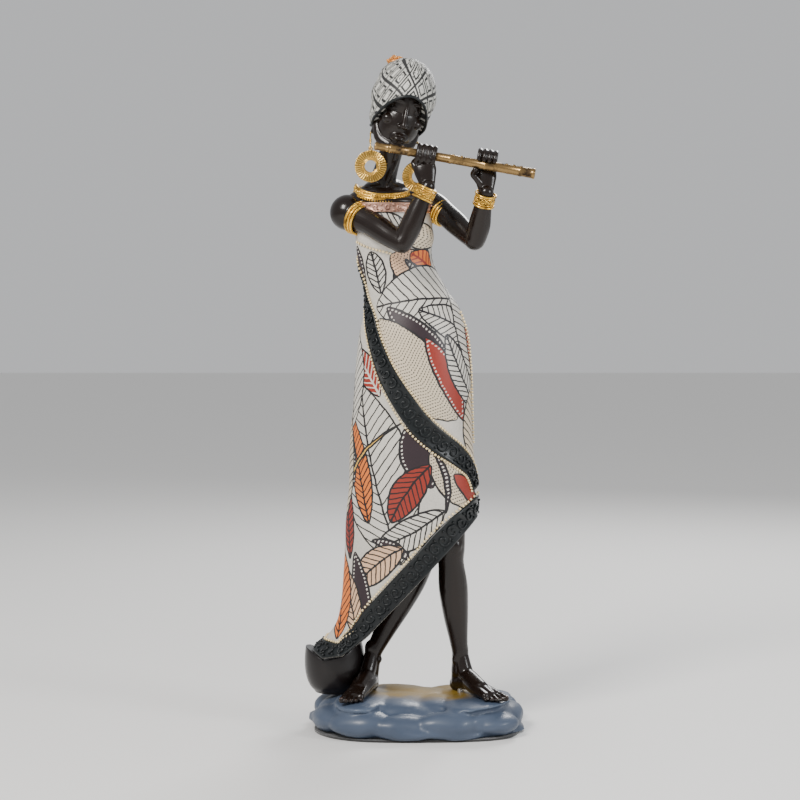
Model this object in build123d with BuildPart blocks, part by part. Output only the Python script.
from build123d import *
from itertools import pairwise
from math import cos, radians, sin
import os

# A cast resin figurine: a woman in a long wrapped dress and a head wrap, standing on a rock plinth
# and playing a side-blown flute. The figure is cast in sections that meet at the borders of the
# clothes and are pinned and glued together. The two metal earrings hang loose and swing.
# +Z is up, the figure looks along -Y, and the origin is the middle of the plinth's underside.

# Plinth and felt
plinth_length = 120.0
plinth_depth = 80.0
plinth_height = 20.0
felt_thickness = 1.2
felt_inset = 3.0

# Fits
glue_gap = 0.1
link_clearance = 0.25
pin_radius = 1.5
pin_depth = 12.0

# Legs, heights counted from the soles
ankle_height = 18.0
knee_height = 82.0
ankle_radius = 4.7
calf_radius = 7.0
knee_radius = 8.0
thigh_tenon = 30.0
foot_length = 38.0
foot_width = 13.0

# Dress, heights counted from the soles
waist_height = 230.0
bust_height = 273.0
hip_width = 64.4
hip_depth = 50.0
waist_width = 43.0
waist_depth = 28.0
trim_thickness = 1.0
trim_width = 13.0
skirt_wall = 3.5
skirt_recess = 12.0
bust_trim_width = 5.0

# Torso, neck and arms
torso_tenon = 14.0
neck_radius = 6.8
upper_arm_radius = 7.0
elbow_radius = 6.5
wrist_radius = 4.5
finger_radius = 1.45
finger_pitch = 2.8
finger_curl = 170.0
knuckle_radius = 2.5
thumb_radius = 1.5

# Head
head_half_width = 14.0
head_half_depth = 17.5
turban_thickness = 3.6
head_roll = 15.0
head_nod = 8.0
head_turn = 12.0

# Flute
flute_length = 87.0
flute_radius = 2.25
flute_end_radius = 2.7
flute_head_length = 8.0
flute_head_radius = 2.0

# Jewellery
bracelet_width = 6.4
bracelet_thickness = 1.2
armlet_wire = 0.7
armlet_count = 3
necklace_radius = 14.5
necklace_wire = 1.6
disc_radius = 8.8
disc_hole_radius = 3.7
disc_thickness = 0.9
pleat_count = 36
hook_wire = 0.4
hook_drop = 6.4
hook_eye_radius = 1.5
hook_eye_wire = 0.46
hook_corner_radius = 0.5
lobe_thickness = 1.8
hook_ball = 0.85
hook_pocket = 2.6

sole = plinth_height
os.makedirs("parts", exist_ok=True)


def bar(start, end, r_start, r_end):
    """Round bar, straight or tapered, between two points; it joins the builder that is open."""
    along = Vector(*end) - Vector(*start)
    base = (Align.CENTER, Align.CENTER, Align.MIN)
    with Locations(Plane(origin=start, z_dir=along).location):
        if abs(r_start - r_end) < 1e-6:
            Cylinder(r_start, along.length, align=base)
        else:
            Cone(r_start, r_end, along.length, align=base)


def limb(points, radii):
    """Bars through the points, with a ball at the first point and at each bend."""
    for (start, end), (r_start, r_end) in zip(pairwise(points), pairwise(radii)):
        bar(start, end, r_start, r_end)
    for point, radius in list(zip(points, radii))[:-1]:
        with Locations(point):
            Sphere(radius)


def along_line(start, end, share):
    return Vector(*start) + (Vector(*end) - Vector(*start)) * share


# ---------------------------------------------------------------- plinth
rock_outline = [  # shares of the half length and half depth
    (-1.0, -0.05), (-0.9, -0.55), (-0.62, -0.9), (-0.1, -1.0), (0.45, -0.96), (0.88, -0.7),
    (1.0, -0.1), (0.9, 0.5), (0.5, 0.9), (0.0, 1.0), (-0.5, 0.92), (-0.9, 0.5),
]


def rock_points(inset):
    half_length, half_depth = plinth_length / 2 - inset, plinth_depth / 2 - inset
    return [(x * half_length, y * half_depth) for x, y in rock_outline]


with BuildPart() as base_felt:
    with BuildSketch():
        with BuildLine():
            Spline(*rock_points(felt_inset), periodic=True)
        make_face()
    extrude(amount=felt_thickness)

with BuildPart() as rock_form:
    rise = plinth_height - felt_thickness
    for share, inset in ((0.0, felt_inset - 0.8), (0.4, 0.0), (0.8, 1.6), (1.0, 7.0)):
        with BuildSketch(Plane.XY.offset(felt_thickness + share * rise)):
            with BuildLine():
                Spline(*rock_points(inset), periodic=True)
            make_face()
    loft()

# ---------------------------------------------------------------- legs
right_ankle = Vector(-26.5, 4.0, sole + ankle_height)
right_shin = Vector(-15.5, 5.5, sole + knee_height * 0.6)
right_knee = Vector(5.0, 8.0, sole + knee_height)
right_thigh = right_knee + Vector(-5.0, 1.0, thigh_tenon)
left_ankle = Vector(24.5, 3.0, sole + ankle_height)
left_shin = Vector(21.5, -0.5, sole + knee_height * 0.6)
left_knee = Vector(18.6, -5.5, sole + knee_height)
left_thigh = left_knee + Vector(-2.5, 0.0, thigh_tenon)
right_heel = Vector(-25.5, 7.0, sole)
right_toe_way = Vector(-10.0, -36.0, 0.0).normalized()
left_heel = Vector(23.0, 6.5, sole)
left_toe_way = Vector(20.0, -31.0, 0.0).normalized()


def foot(heel, way):
    """Foot flat on the plinth, from the heel along way, with five toes."""
    side = way.cross(Vector(0, 0, 1))
    toe_radius = foot_width / 11
    rings = [  # share of the length, share of the width, height of the instep
        (0.0, 0.50, 6.5), (0.18, 0.72, 10.5), (0.42, 0.74, 8.6), (0.68, 0.92, 5.6), (0.88, 0.98, 3.6),
    ]
    with BuildPart() as made:
        for share, wide, high in rings:
            middle = heel + way * (share * foot_length) + Vector(0, 0, high / 2)
            with BuildSketch(Plane(origin=middle, x_dir=side, z_dir=way)):
                Ellipse(wide * foot_width / 2, high / 2)
        loft()
        for toe in range(5):
            reach = foot_length * (0.97 - 0.035 * abs(toe - 1))
            across = side * (toe - 2) * toe_radius * 1.9
            tip = heel + way * reach + across + Vector(0, 0, toe_radius)
            with Locations(tip):
                Sphere(toe_radius)
            bar(tip - way * foot_length * 0.16, tip, toe_radius, toe_radius)
    return made.part


def leg(heel, way, ankle, shin, knee, thigh, grow=0.0):
    """Thigh, calf and foot; with grow, the room that the leg needs in its neighbours, without the foot."""
    radii = [knee_radius + 0.6, knee_radius, calf_radius, ankle_radius, ankle_radius + 0.5]
    foot_form = None if grow else foot(heel, way)
    with BuildPart() as made:
        limb([thigh, knee, shin, ankle, heel + Vector(0, 0, ankle_radius)], [r + grow for r in radii])
        if foot_form:
            add(foot_form)
        with BuildSketch(Plane.XY.offset(sole)):
            Rectangle(4 * plinth_length, 4 * plinth_length)
        extrude(amount=-4 * ankle_radius, mode=Mode.SUBTRACT)
    return made.part


def leg_pin_form(ankle, grow=0.0):
    """Steel rod that stands in the plinth and runs up through the ankle."""
    bottom = Vector(ankle.X, ankle.Y, sole - pin_depth - grow)
    top = Vector(ankle.X, ankle.Y, sole + ankle_height + grow)
    with BuildPart() as made:
        bar(bottom, top, pin_radius + grow, pin_radius + grow)
    return made.part


right_set = (right_heel, right_toe_way, right_ankle, right_shin, right_knee, right_thigh)
left_set = (left_heel, left_toe_way, left_ankle, left_shin, left_knee, left_thigh)
right_leg_form, left_leg_form = leg(*right_set), leg(*left_set)
right_pin_form, left_pin_form = leg_pin_form(right_ankle), leg_pin_form(left_ankle)
right_pin_hole, left_pin_hole = leg_pin_form(right_ankle, glue_gap), leg_pin_form(left_ankle, glue_gap)

with BuildPart() as right_leg_pin:
    add(right_pin_form)
with BuildPart() as left_leg_pin:
    add(left_pin_form)
with BuildPart() as right_leg:
    add(right_leg_form)
    add(right_pin_hole, mode=Mode.SUBTRACT)
with BuildPart() as left_leg:
    add(left_leg_form)
    add(left_pin_hole, mode=Mode.SUBTRACT)
with BuildPart() as plinth:
    add(rock_form.part)
    add(right_pin_hole, mode=Mode.SUBTRACT)
    add(left_pin_hole, mode=Mode.SUBTRACT)

# ---------------------------------------------------------------- where the torso, neck and arms meet
bust_top = sole + bust_height
neck_base = Vector(-20.0, 1.0, bust_top + 8)
neck_top = Vector(-12.5, -6.0, bust_top + 34)
right_shoulder = Vector(-38.0, -5.0, bust_top - 5)
left_shoulder = Vector(5.0, 11.0, bust_top + 3)
right_shoulder_radius = upper_arm_radius + 3.3
left_shoulder_radius = upper_arm_radius + 1.2
right_elbow = Vector(-8.1, -30.0, bust_top - 22.5)
left_elbow = Vector(31.6, -15.0, bust_top - 20.5)
right_upper = (right_shoulder, right_shoulder_radius, right_elbow)
left_upper = (left_shoulder, left_shoulder_radius, left_elbow)


def shoulder_pin(shoulder, grow=0.0):
    """Steel rod from the chest into the ball of the arm."""
    way = (shoulder - neck_base).normalized()
    start = shoulder - way * (pin_depth + grow)
    end = shoulder + way * (2 * pin_radius + grow)
    with BuildPart() as made:
        bar(start, end, pin_radius + grow, pin_radius + grow)
    return made.part


def upper_arm_form(shoulder, shoulder_radius, elbow, grow=0.0):
    """Ball of the shoulder and the arm down to the elbow."""
    outer = along_line(shoulder, elbow, 0.28)
    radii = [shoulder_radius + grow, upper_arm_radius + grow, elbow_radius + grow]
    with BuildPart() as made:
        limb([shoulder, outer, elbow], radii)
        with Locations(elbow):
            Sphere(elbow_radius + grow)
    return made.part


def neck_pin_form(grow=0.0):
    """Steel rod that joins the neck to the head."""
    half = (neck_top - neck_base).normalized() * (pin_depth + grow)
    with BuildPart() as made:
        bar(neck_top - half, neck_top + half, pin_radius + grow, pin_radius + grow)
    return made.part


# ---------------------------------------------------------------- dress
hip_a, hip_b = hip_width / 2, hip_depth / 2
waist_a, waist_b = waist_width / 2, waist_depth / 2
dress_rings = [  # height, centre x, centre y, half width, half depth, turn
    (sole + 16, -31.0, 5.0, hip_a + 2.0, hip_b + 2.0, 0),
    (sole + 24, -26.0, 4.0, hip_a + 0.6, hip_b + 2.0, 0),
    (sole + 31, -19.5, 3.5, hip_a - 0.7, hip_b + 1.5, 0),
    (sole + 43, -12.0, 3.0, hip_a - 0.5, hip_b + 1.0, 0),
    (sole + 71, -5.0, 2.0, hip_a + 3.1, hip_b + 0.5, 0),
    (sole + 99, -3.0, 1.0, hip_a + 3.8, hip_b, 0),
    (sole + 117, -1.7, 1.0, hip_a + 3.4, hip_b, 0),
    (sole + 140, -2.7, 1.0, hip_a + 2.0, hip_b, 0),
    (sole + 162, -2.2, 1.0, hip_a + 0.8, hip_b, 0),
    (sole + 184, -1.5, 2.0, hip_a, hip_b, 0),
    (sole + 201, -1.5, 1.5, hip_a - 1.8, hip_b - 2.5, 4),
    (sole + waist_height - 14, -2.4, 0.5, waist_a + 4.6, waist_b + 4.6, 8),
    (sole + waist_height - 3, -6.0, 0.0, waist_a + 1.0, waist_b + 1.4, 14),
    (sole + waist_height + 12, -11.7, 0.0, waist_a, waist_b, 20),
    (sole + waist_height + 26, -12.5, 0.0, waist_a + 1.0, waist_b + 0.4, 25),
    (bust_top, -12.3, 0.0, waist_a + 1.0, waist_b, 25),
]
far = 2 * plinth_length


def dress_form(grow):
    """The dress as one closed form, with grow added on all sides."""
    with BuildPart() as made:
        for height, centre_x, centre_y, half_width, half_depth, turn in dress_rings:
            with BuildSketch(Plane.XY.offset(height)):
                with Locations((centre_x, centre_y)):
                    Ellipse(half_width + grow, half_depth + grow, rotation=turn)
        loft()
    return made.part


def curtain(outline, y_from, y_to):
    """A front-view outline, given as two curves that share no point, pushed through in depth."""
    upper, lower = outline
    with BuildPart() as made:
        with BuildSketch(Plane(origin=(0, y_from, 0), x_dir=(1, 0, 0), z_dir=(0, -1, 0))):
            with BuildLine():
                top = Spline(*upper)
                bottom = Spline(*lower)
                Line(top @ 0, bottom @ 0)
                Line(top @ 1, bottom @ 1)
            make_face()
        extrude(amount=-(y_to - y_from))
    return made.part


hem_line = [  # x and height above the soles, from the right side of the view to the left
    (60.0, 118.0), (32.5, 98.5), (25.4, 91.0), (7.5, 71.6), (-12.0, 51.2), (-27.0, 35.5),
    (-40.0, 24.5), (-52.0, 22.0), (-60.0, 27.0), (-80.0, 34.0),
]
hem_line = [(x, sole + z) for x, z in hem_line]


def hem_shifted(amount):
    """The hem line moved up the skirt, square to its main slope."""
    return [(x - 0.42 * amount, z + 0.91 * amount) for x, z in hem_line]


def below_hem():
    return curtain((hem_line, [(60.0, -far), (-80.0, -far)]), -far, far)


def above_hem(amount):
    return curtain(([(60.0, far * 3), (-80.0, far * 3)], hem_shifted(amount)), -far, far)


wrap_front = (
    [(-42, 236), (-28.5, 228), (-24, 218), (-20.5, 204), (-17, 191), (-10.3, 178), (-1.9, 166.5),
     (7.1, 154.5), (19.6, 145), (28.8, 138.9), (44, 131)],
    [(-42, 220), (-29.5, 211), (-26.4, 190), (-20.2, 174), (-11, 157), (6.3, 138), (19.6, 129.8),
     (28, 121), (44, 109)],
)
wrap_back = (
    [(-42, 236), (-20, 246), (0, 258), (22, 275)],
    [(-42, 220), (-20, 231), (0, 243), (22, 259)],
)


def lifted(outline):
    return tuple([(x, sole + z) for x, z in curve] for curve in outline)


middle_y = 1.0
dress_outer = dress_form(0.0)
trim_outer = dress_form(trim_thickness)
trim_shell = trim_outer - dress_outer
hem_cutter = below_hem()
above_trim = above_hem(trim_width)
dress_hollow = dress_form(-skirt_wall) - above_hem(skirt_recess)
leg_room = [leg(*right_set, grow=glue_gap), leg(*left_set, grow=glue_gap)]
wrap_bands = curtain(lifted(wrap_front), -far, middle_y) + curtain(lifted(wrap_back), middle_y, far)


def torso_tenon_form(grow):
    """Oval tenon of the torso that sits in the top of the dress."""
    with BuildPart() as made:
        with BuildSketch(Plane.XY.offset(bust_top)):
            with Locations((-12.3, 0.0)):
                Ellipse(waist_a * 0.62 + grow, waist_b * 0.62 + grow, rotation=25)
        extrude(amount=-(torso_tenon + grow))
    return made.part


tenon, tenon_room = torso_tenon_form(0.0), torso_tenon_form(glue_gap)
right_rod, left_rod = shoulder_pin(right_shoulder), shoulder_pin(left_shoulder)
right_rod_room = shoulder_pin(right_shoulder, glue_gap)
left_rod_room = shoulder_pin(left_shoulder, glue_gap)

with BuildPart() as dress:
    add(dress_outer)
    add(hem_cutter, mode=Mode.SUBTRACT)
    add(dress_hollow, mode=Mode.SUBTRACT)
    for room in leg_room:
        add(room, mode=Mode.SUBTRACT)
    add(tenon_room, mode=Mode.SUBTRACT)
    add(right_rod_room, mode=Mode.SUBTRACT)

with BuildPart() as hem_trim:
    add(trim_shell)
    add(hem_cutter, mode=Mode.SUBTRACT)
    add(above_trim, mode=Mode.SUBTRACT)

with BuildPart() as bust_trim:
    add(trim_shell)
    with BuildSketch(Plane.XY.offset(bust_top - bust_trim_width)):
        Rectangle(far, far)
    extrude(amount=-far * 2, mode=Mode.SUBTRACT)
    add(right_rod_room, mode=Mode.SUBTRACT)

hem_overlap = trim_shell - above_trim
with BuildPart() as wrap_trim:
    add(trim_shell)
    add(wrap_bands, mode=Mode.INTERSECT)
    with BuildSketch(Plane.XY.offset(bust_top - bust_trim_width)):
        Rectangle(far, far)
    extrude(amount=far, mode=Mode.SUBTRACT)
    add(hem_overlap, mode=Mode.SUBTRACT)

# Tail of the skirt's dark lining, which trails on the plinth behind the right foot
over_hem = curtain(([(60.0, far * 3), (-80.0, far * 3)], hem_line), -far, far)
skirt_room = dress_outer - hem_cutter
with BuildPart() as lining_tail:
    for height, centre_x, centre_y, half_width, half_depth in (
        (0.0, -45.0, 10.0, 11.0, 13.0), (6.0, -45.5, 10.0, 15.5, 16.5),
        (17.0, -45.5, 9.5, 17.0, 18.0), (30.0, -44.0, 8.0, 14.5, 19.0),
    ):
        with BuildSketch(Plane.XY.offset(sole + height)):
            with Locations((centre_x, centre_y)):
                Ellipse(half_width, half_depth)
    loft()
    add(over_hem, mode=Mode.SUBTRACT)
    add(skirt_room, mode=Mode.SUBTRACT)
    for room in leg_room:
        add(room, mode=Mode.SUBTRACT)
    add(right_leg_form, mode=Mode.SUBTRACT)

# ---------------------------------------------------------------- torso and neck
with BuildPart() as chest:
    for height, centre_x, centre_y, half_width, half_depth in (
        (0, -12.3, 0.0, waist_a, waist_b - 1), (4, -13.5, 0.5, waist_a - 1.0, waist_b - 3.2),
        (9, -16.0, 1.0, waist_a - 6.0, waist_b - 5.5), (13, -18.5, 1.5, waist_a - 12, waist_b - 6.5),
    ):
        with BuildSketch(Plane.XY.offset(bust_top + height)):
            with Locations((centre_x, centre_y)):
                Ellipse(half_width, half_depth, rotation=25)
    loft()
    add(tenon)

# ---------------------------------------------------------------- head
head_centre = Vector(-9.5, -10.0, bust_top + 48)
head_axes = Location((0, 0, 0), (head_nod, head_roll, head_turn))
head_frame = Plane(
    origin=head_centre,
    x_dir=(head_axes * Location((1, 0, 0))).position,
    z_dir=(head_axes * Location((0, 0, 1))).position,
)


def head_point(side, back, up):
    """A point in the head's own frame: side to the figure's left, back, and up."""
    return head_frame.from_local_coords(Vector(side, back, up))


def head_loft(rings):
    """Oval rings across the head's own upright axis: height, half width, half depth, how far back."""
    with BuildPart() as made:
        for up, half_width, half_depth, back in rings:
            ring_at = head_point(0, back, up)
            with BuildSketch(Plane(origin=ring_at, x_dir=head_frame.x_dir, z_dir=head_frame.z_dir)):
                Ellipse(half_width, half_depth)
        loft()
    return made.part


def skull_form():
    w, d = head_half_width, head_half_depth
    return head_loft([
        (-20.0, 0.38 * w, 0.30 * d, -8.5), (-15.5, 0.66 * w, 0.56 * d, -6.0),
        (-8.0, 0.88 * w, 0.82 * d, -2.6), (1.0, w, 0.98 * d, 0.0), (10.0, w, d, 0.6),
        (18.0, 0.86 * w, 0.88 * d, 1.2), (24.0, 0.6 * w, 0.6 * d, 1.6), (27.5, 0.25 * w, 0.25 * d, 2.0),
    ])


lobe_drop = 12.0
lobe_inset = 2.0
lobe_forward = 1.5
ear_top_radius = 2.2
lobe_room = (7.0, 9.0, 9.0)  # clear space round each lobe, for the hook to swing in


def lobe_point(side):
    """Middle of the hole in the ear lobe; side is -1 for the right ear and 1 for the left."""
    return head_point(side * (head_half_width - lobe_inset), -lobe_forward, -lobe_drop)


def ear_form(side):
    lobe = lobe_point(side)
    with BuildPart() as made:
        with Locations(Plane(origin=lobe, z_dir=(1, 0, 0)).location):
            Cylinder(1.7, lobe_thickness)
        top = head_point(side * (head_half_width - 0.6), 0.5, -lobe_drop + 8.5)
        limb([lobe + Vector(-side * 0.6, 0.6, 1.6), top], [0.7 * ear_top_radius, ear_top_radius])
        with Locations(top):
            Sphere(ear_top_radius)
    return made.part


def lobe_hole(side):
    lobe = lobe_point(side)
    with BuildPart() as made:
        with Locations(Plane(origin=lobe, z_dir=(1, 0, 0)).location):
            Cylinder(hook_wire + link_clearance, 3.2 * lobe_thickness)
    return made.part


with BuildPart() as neck_form:
    bar(neck_base, neck_top, neck_radius + 0.8, neck_radius)
    with Locations(neck_top):
        Sphere(neck_radius)

skull = skull_form()
ears = [ear_form(side) for side in (-1, 1)]
lobe_holes = [lobe_hole(side) for side in (-1, 1)]
neck_rod, neck_rod_room = neck_pin_form(), neck_pin_form(glue_gap)

with BuildPart() as head:
    add(skull)
    for ear in ears:
        add(ear)
    for side in (-1, 1):
        lobe = lobe_point(side)
        # room beside the lobe for the hook's inner end
        pocket = Vector(lobe.X - side * (lobe_thickness + hook_pocket) / 2, lobe.Y, lobe.Z)
        with Locations(pocket):
            Box(hook_pocket, 2 * hook_pocket, 2 * hook_pocket, mode=Mode.SUBTRACT)
    for hole in lobe_holes:
        add(hole, mode=Mode.SUBTRACT)
    add(neck_rod_room, mode=Mode.SUBTRACT)

turban_front = [(0.0, 11.5), (8.5, 8.0), (13.0, -2.0), (15.5, -30.0)]
w, d, t = head_half_width, head_half_depth, turban_thickness
wound_cloth = head_loft([
    (-9.0, w - 1.0, d - 3.4, 2.6), (-3.0, w + t - 1.2, d + 0.4, 1.6), (5.0, w + t, d + t, 0.8),
    (14.0, w + t, d + t, 0.8), (22.0, 0.82 * w + t, 0.82 * d + t, 1.4),
    (28.0, 0.5 * w + t, 0.5 * d + t, 2.2), (32.0, 0.3 * w, 0.3 * d, 3.0),
])
with BuildPart() as turban:
    add(wound_cloth)
    face_plane = Plane(origin=head_centre, x_dir=head_frame.x_dir, z_dir=-head_frame.y_dir)
    with BuildSketch(face_plane):
        with BuildLine():
            half = Spline(*turban_front, tangents=[(1, 0), (0, -1)])
            other = Spline(*[(-x, y) for x, y in turban_front], tangents=[(-1, 0), (0, -1)])
            Line(half @ 1, other @ 1)
        make_face()
    extrude(amount=far, mode=Mode.SUBTRACT)
    add(skull, mode=Mode.SUBTRACT)
    for ear in ears:
        add(ear, mode=Mode.SUBTRACT)
    with Locations(lobe_point(-1), lobe_point(1)):
        Box(*lobe_room, mode=Mode.SUBTRACT)
    add(neck_form.part, mode=Mode.SUBTRACT)

rosette_seat = head_point(-8.5, 9.0, 28.0)
rosette_way = (rosette_seat - head_point(0, 1.0, 8.0)).normalized()
petal_radius = 1.5
with BuildPart() as turban_rosette:
    bar(rosette_seat - rosette_way * 3, rosette_seat + rosette_way * petal_radius, 4.6, 4.2)
    petals = Plane(origin=rosette_seat + rosette_way * 0.8 * petal_radius, z_dir=rosette_way)
    with Locations(petals.location):
        with PolarLocations(2 * petal_radius, 6):
            Sphere(petal_radius)
        Sphere(1.6 * petal_radius)
    add(turban.part, mode=Mode.SUBTRACT)
    add(skull, mode=Mode.SUBTRACT)

arm_rooms = [upper_arm_form(*upper, grow=glue_gap) for upper in (right_upper, left_upper)]
shoulder_radii = [neck_radius + 1.4, neck_radius + 2, neck_radius + 0.6]
with BuildPart() as torso:
    add(chest.part)
    limb([right_shoulder, neck_base, left_shoulder], shoulder_radii)
    add(neck_form.part)
    with BuildSketch(Plane.XY.offset(bust_top)):
        Rectangle(far, far)
    extrude(amount=-far, mode=Mode.SUBTRACT)
    add(tenon)
    for room in (*arm_rooms, right_rod_room, left_rod_room):
        add(room, mode=Mode.SUBTRACT)
    add(skull, mode=Mode.SUBTRACT)
    for ear in ears:
        add(ear, mode=Mode.SUBTRACT)
    with Locations(lobe_point(-1), lobe_point(1)):
        Box(*lobe_room, mode=Mode.SUBTRACT)
    add(neck_rod_room, mode=Mode.SUBTRACT)

with BuildPart() as neck_pin:
    add(neck_rod)
with BuildPart() as right_shoulder_pin:
    add(right_rod)
with BuildPart() as left_shoulder_pin:
    add(left_rod)

# ---------------------------------------------------------------- flute
mouth = head_point(1.0, -head_half_depth + 1.0, -13.6)
flute_way = Vector(85.0, -5.0, -15.5).normalized()
flute_start = mouth + Vector(0, -3.2, -4.2) - flute_way * 14.0
flute_end = flute_start + flute_way * flute_length
flute_joint = flute_start + flute_way * flute_head_length


def flute_radius_at(along):
    share = (along - flute_head_length) / (flute_length - flute_head_length)
    return flute_radius + (flute_end_radius - flute_radius) * max(0.0, share)


def flute_room(grow):
    with BuildPart() as made:
        bar(flute_start, flute_end, flute_radius_at(0) + grow, flute_radius_at(flute_length) + grow)
    return made.part


tenon_length, tenon_radius = 4.0, 1.2
with BuildPart() as flute_head:
    bar(flute_start, flute_joint, flute_head_radius, flute_head_radius)
    bar(flute_joint, flute_joint + flute_way * tenon_length, tenon_radius, tenon_radius)
    bar(flute_start, flute_start + flute_way * 1.4, flute_head_radius + 0.3, flute_head_radius + 0.3)

with BuildPart() as flute_body:
    bar(flute_joint, flute_end, flute_radius, flute_end_radius)
    with Locations(Plane(origin=flute_joint, z_dir=flute_way).location):
        Cylinder(
            tenon_radius + glue_gap, tenon_length + glue_gap,
            align=(Align.CENTER, Align.CENTER, Align.MIN), mode=Mode.SUBTRACT,
        )

# ---------------------------------------------------------------- arms and hands
right_grip_at, left_grip_at = 28.5, 61.0
right_grip = flute_start + flute_way * right_grip_at
left_grip = flute_start + flute_way * left_grip_at
right_wrist = right_grip + Vector(-1.0, -4.0, -20.0)
left_wrist = left_grip + Vector(-0.6, 4.6, -17.0)


def finger(root, axis_point, front, curl):
    """One finger from the back of the hand to the flute, and round it by the angle curl."""
    facing = Vector(0, front, 0)
    outward = (facing - flute_way * facing.dot(flute_way)).normalized()
    reach = flute_radius_at(right_grip_at) + finger_radius
    knuckle = axis_point + outward * reach
    turning = Axis(axis_point, flute_way * front)
    fingertip = axis_point + outward.rotate(Axis((0, 0, 0), flute_way * front), curl) * reach
    with BuildPart() as made:
        limb([root, knuckle], [knuckle_radius, finger_radius])
        with Locations(knuckle):
            Sphere(finger_radius)
        with BuildSketch(Plane(origin=knuckle, x_dir=outward, z_dir=outward.cross(flute_way))):
            Circle(finger_radius)
        revolve(axis=turning, revolution_arc=curl)
        with Locations(fingertip):
            Sphere(finger_radius)
    return made.part


def hand(wrist, grip, front, thumb_side):
    """Four fingers hooked over the flute at grip, and a thumb below it.
    front is -1 where the back of the hand is in front of the flute and 1 where it is behind it."""
    base = wrist + (grip - wrist) * 0.35 + flute_way * (thumb_side * 3.0)
    drop = flute_radius_at(right_grip_at) + finger_radius + 0.2
    tip = grip + flute_way * (thumb_side * (finger_pitch * 2 + 1.2)) + Vector(0, -front, -drop)
    steps = [flute_way * (count - 1.5) * finger_pitch for count in range(4)]
    fingers = [finger(wrist + step * 0.45, grip + step, front, finger_curl) for step in steps]
    with BuildPart() as made:
        for one in fingers:
            add(one)
        limb([base, tip], [1.5 * thumb_radius, thumb_radius])
        with Locations(tip):
            Sphere(thumb_radius)
    return made.part


def arm_form(upper, wrist, grip, front):
    """The whole arm, with the hand round the flute."""
    upper_form = upper_arm_form(*upper)
    hand_form = hand(wrist, grip, front, -1)
    room = flute_room(glue_gap)
    with BuildPart() as made:
        add(upper_form)
        bar(upper[2], wrist, elbow_radius, wrist_radius)
        with Locations(wrist):
            Sphere(wrist_radius)
        add(hand_form)
        add(room, mode=Mode.SUBTRACT)
    return made.part


right_arm_solid = arm_form(right_upper, right_wrist, right_grip, -1)
left_arm_solid = arm_form(left_upper, left_wrist, left_grip, 1)
with BuildPart() as right_arm:
    add(right_arm_solid)
    add(right_rod_room, mode=Mode.SUBTRACT)
    add(trim_outer, mode=Mode.SUBTRACT)
with BuildPart() as left_arm:
    add(left_arm_solid)
    add(left_rod_room, mode=Mode.SUBTRACT)
    add(trim_outer, mode=Mode.SUBTRACT)


def bracelet(elbow, wrist, arm):
    """Broad cuff that fits the forearm just below the hand."""
    way = (wrist - elbow).normalized()
    start = wrist - way * (bracelet_width / 2 + 1.0)
    outer = wrist_radius + 0.6 + bracelet_thickness
    with BuildPart() as made:
        bar(start, start + way * bracelet_width, outer, outer)
        add(arm, mode=Mode.SUBTRACT)
    return made.part.solids().sort_by(SortBy.VOLUME)[-1]


def armlet(upper, arm, distance, outer):
    """Thin rings side by side round the upper arm, at a distance from the shoulder."""
    shoulder, _, elbow = upper
    way = (elbow - shoulder).normalized()
    with BuildPart() as made:
        for ring in range(armlet_count):
            start = shoulder + way * (distance + ring * 2.6 * armlet_wire)
            bar(start, start + way * 2 * armlet_wire, outer, outer)
        add(arm, mode=Mode.SUBTRACT)
        add(trim_outer, mode=Mode.SUBTRACT)
        add(torso.part, mode=Mode.SUBTRACT)
    return made.part


right_cuff = bracelet(right_elbow, right_wrist, right_arm_solid)
left_cuff = bracelet(left_elbow, left_wrist, left_arm_solid)
right_rings = armlet(right_upper, right_arm_solid, 6.5, right_shoulder_radius)
left_rings = armlet(left_upper, left_arm_solid, 13.0, upper_arm_radius + 2 * armlet_wire)

with BuildPart() as right_bracelet:
    add(right_cuff)
with BuildPart() as left_bracelet:
    add(left_cuff)
with BuildPart() as right_armlet:
    add(right_rings)
with BuildPart() as left_armlet:
    add(left_rings)

# The necklace shows across the chest and across the back, between the shoulders
collar_centre = neck_base + Vector(1.0, -1.0, -4.0)
with BuildPart() as collar:
    with BuildSketch(Plane(origin=collar_centre, z_dir=(0.12, -0.25, 1))):
        Circle(necklace_radius)
        Circle(necklace_radius - 2 * necklace_wire, mode=Mode.SUBTRACT)
    extrude(amount=2 * necklace_wire)
    add(torso.part, mode=Mode.SUBTRACT)
    for room in (*arm_rooms, right_rod_room, left_rod_room):
        add(room, mode=Mode.SUBTRACT)
collar_arcs = collar.part.solids().sort_by(Axis.Y)
with BuildPart() as necklace:
    add(collar_arcs[0])
with BuildPart() as necklace_back:
    add(collar_arcs.sort_by(SortBy.VOLUME)[-1])

# ---------------------------------------------------------------- earrings


# The hook of the right ear, with the hole of the lobe at the origin: wire through the lobe with
# a ball inside, a shank outside it and an eye below; the left one is its mirror image
hook_inner = Vector((lobe_thickness + hook_pocket) / 2, 0, 0)
hook_corner = Vector(-lobe_thickness / 2 - 0.7, 0, 0)
shank_end = hook_corner + Vector(0, 0, -hook_drop)
hook_eye = shank_end + Vector(0, 0, -hook_eye_radius)
hook_hang = hook_eye + Vector(0, 0, -hook_eye_radius)
with BuildPart() as hook_form:
    bar(hook_inner, hook_corner, hook_wire, hook_wire)
    with Locations(hook_inner):
        Sphere(hook_ball)
    with Locations(hook_corner):
        Sphere(hook_corner_radius)
    bar(hook_corner, shank_end, hook_wire, hook_wire)
    with Locations(Plane(origin=hook_eye, z_dir=(1, 0, 0)).location):
        Torus(hook_eye_radius, hook_eye_wire)


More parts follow.
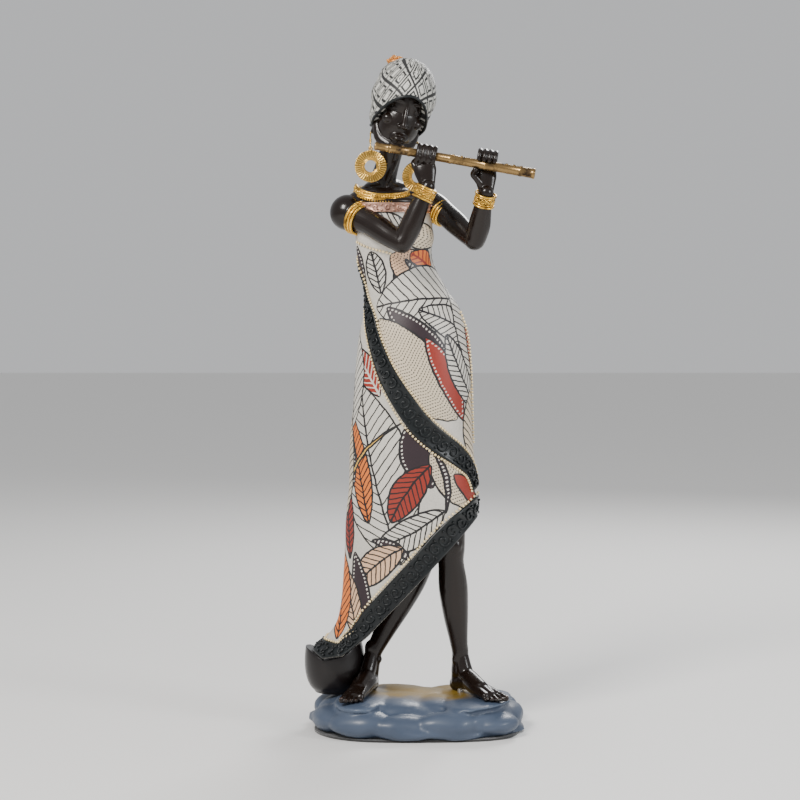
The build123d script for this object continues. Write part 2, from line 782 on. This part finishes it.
def ear_disc(hang):
    """Flat ring with pleats pressed into its face, hung by a small tab."""
    hole = hook_eye_wire + link_clearance
    tab_radius = hole + 0.7
    centre = hang + Vector(0, 0, -(disc_radius + 0.6 * tab_radius))
    face = Plane(origin=centre, x_dir=(1, 0, 0), z_dir=(0, -1, 0))
    pleat_depth, pleat_gap = 0.3, 0.35
    with BuildPart() as made:
        with BuildSketch(face.offset(-disc_thickness / 2)):
            Circle(disc_radius)
            with Locations((0, hang.Z - centre.Z)):
                Circle(tab_radius)
            Circle(disc_hole_radius, mode=Mode.SUBTRACT)
            with Locations((0, hang.Z - centre.Z)):
                Circle(hole, mode=Mode.SUBTRACT)
        extrude(amount=disc_thickness)
        with BuildSketch(face.offset(disc_thickness / 2 - pleat_depth)):
            with PolarLocations((disc_radius + disc_hole_radius) / 2, pleat_count):
                Rectangle(disc_radius - disc_hole_radius - 1.2, pleat_gap)
        extrude(amount=disc_thickness, mode=Mode.SUBTRACT)
    return made.part


right_hook_form = Pos(*lobe_point(-1)) * hook_form.part
left_hook_form = Pos(*lobe_point(1)) * mirror(hook_form.part, about=Plane.YZ)
right_hang = lobe_point(-1) + hook_hang
left_hang = lobe_point(1) + Vector(-hook_hang.X, hook_hang.Y, hook_hang.Z)
right_disc_form, left_disc_form = ear_disc(right_hang), ear_disc(left_hang)

with BuildPart() as right_ear_hook:
    add(right_hook_form)
with BuildPart() as left_ear_hook:
    add(left_hook_form)
with BuildPart() as right_ear_disc:
    add(right_disc_form)
with BuildPart() as left_ear_disc:
    add(left_disc_form)

# ---------------------------------------------------------------- labels and files
base_felt.part.label = "base_felt"
plinth.part.label = "plinth"
right_leg.part.label = "right_leg"
left_leg.part.label = "left_leg"
right_leg_pin.part.label = "right_leg_pin"
left_leg_pin.part.label = "left_leg_pin"
dress.part.label = "dress"
hem_trim.part.label = "hem_trim"
wrap_trim.part.label = "wrap_trim"
bust_trim.part.label = "bust_trim"
lining_tail.part.label = "lining_tail"
torso.part.label = "torso"
neck_pin.part.label = "neck_pin"
right_shoulder_pin.part.label = "right_shoulder_pin"
left_shoulder_pin.part.label = "left_shoulder_pin"
head.part.label = "head"
turban.part.label = "turban"
turban_rosette.part.label = "turban_rosette"
right_arm.part.label = "right_arm"
left_arm.part.label = "left_arm"
right_bracelet.part.label = "right_bracelet"
left_bracelet.part.label = "left_bracelet"
right_armlet.part.label = "right_armlet"
left_armlet.part.label = "left_armlet"
necklace.part.label = "necklace"
necklace_back.part.label = "necklace_back"
flute_head.part.label = "flute_head"
flute_body.part.label = "flute_body"
right_ear_hook.part.label = "right_ear_hook"
left_ear_hook.part.label = "left_ear_hook"
right_ear_disc.part.label = "right_ear_disc"
left_ear_disc.part.label = "left_ear_disc"

export_step(base_felt.part, "parts/base_felt.step")
export_step(plinth.part, "parts/plinth.step")
export_step(right_leg.part, "parts/right_leg.step")
export_step(left_leg.part, "parts/left_leg.step")
export_step(right_leg_pin.part, "parts/right_leg_pin.step")
export_step(left_leg_pin.part, "parts/left_leg_pin.step")
export_step(dress.part, "parts/dress.step")
export_step(hem_trim.part, "parts/hem_trim.step")
export_step(wrap_trim.part, "parts/wrap_trim.step")
export_step(bust_trim.part, "parts/bust_trim.step")
export_step(lining_tail.part, "parts/lining_tail.step")
export_step(torso.part, "parts/torso.step")
export_step(neck_pin.part, "parts/neck_pin.step")
export_step(right_shoulder_pin.part, "parts/right_shoulder_pin.step")
export_step(left_shoulder_pin.part, "parts/left_shoulder_pin.step")
export_step(head.part, "parts/head.step")
export_step(turban.part, "parts/turban.step")
export_step(turban_rosette.part, "parts/turban_rosette.step")
export_step(right_arm.part, "parts/right_arm.step")
export_step(left_arm.part, "parts/left_arm.step")
export_step(right_bracelet.part, "parts/right_bracelet.step")
export_step(left_bracelet.part, "parts/left_bracelet.step")
export_step(right_armlet.part, "parts/right_armlet.step")
export_step(left_armlet.part, "parts/left_armlet.step")
export_step(necklace.part, "parts/necklace.step")
export_step(necklace_back.part, "parts/necklace_back.step")
export_step(flute_head.part, "parts/flute_head.step")
export_step(flute_body.part, "parts/flute_body.step")
export_step(right_ear_hook.part, "parts/right_ear_hook.step")
export_step(left_ear_hook.part, "parts/left_ear_hook.step")
export_step(right_ear_disc.part, "parts/right_ear_disc.step")
export_step(left_ear_disc.part, "parts/left_ear_disc.step")

print("right lobe", lobe_point(-1), "left lobe", lobe_point(1))
print("right hang", right_hang, "left hang", left_hang)
